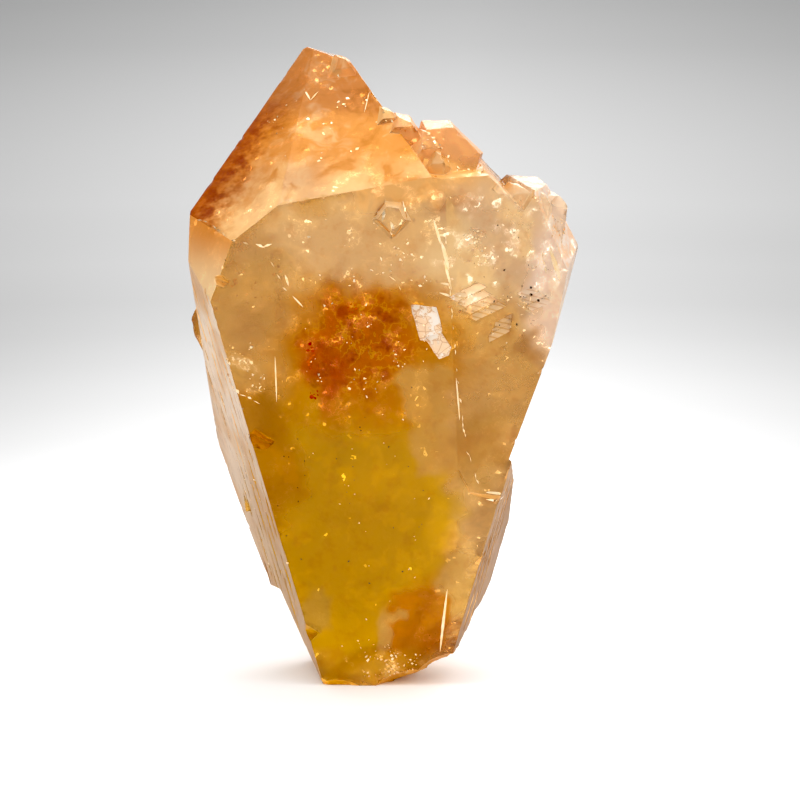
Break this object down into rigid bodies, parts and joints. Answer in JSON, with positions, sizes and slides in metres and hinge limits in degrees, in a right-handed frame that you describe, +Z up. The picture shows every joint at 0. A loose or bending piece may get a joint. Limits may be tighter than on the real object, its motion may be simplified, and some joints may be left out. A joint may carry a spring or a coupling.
{
  "type": "calcite specimen",
  "caption": "Golden clear crystal specimen that stands upright on its flat broken foot: a broad tapering crystal with a second one grown into its shoulder and small points along the ridge.",
  "frame": {"origin": "on the flat foot that the specimen stands on", "axes": "+Z up along the length of the crystal, +X to the viewer's right, -Y towards the viewer, facing the broad front face"},
  "size_m": [0.0728, 0.0543, 0.1185],
  "materials": {
    "calcite": "clear golden crystal with cloudy zones"
  },
  "bodies": {
    "root": {"calcite_crystal": "calcite"}
  },
  "joints": []
}
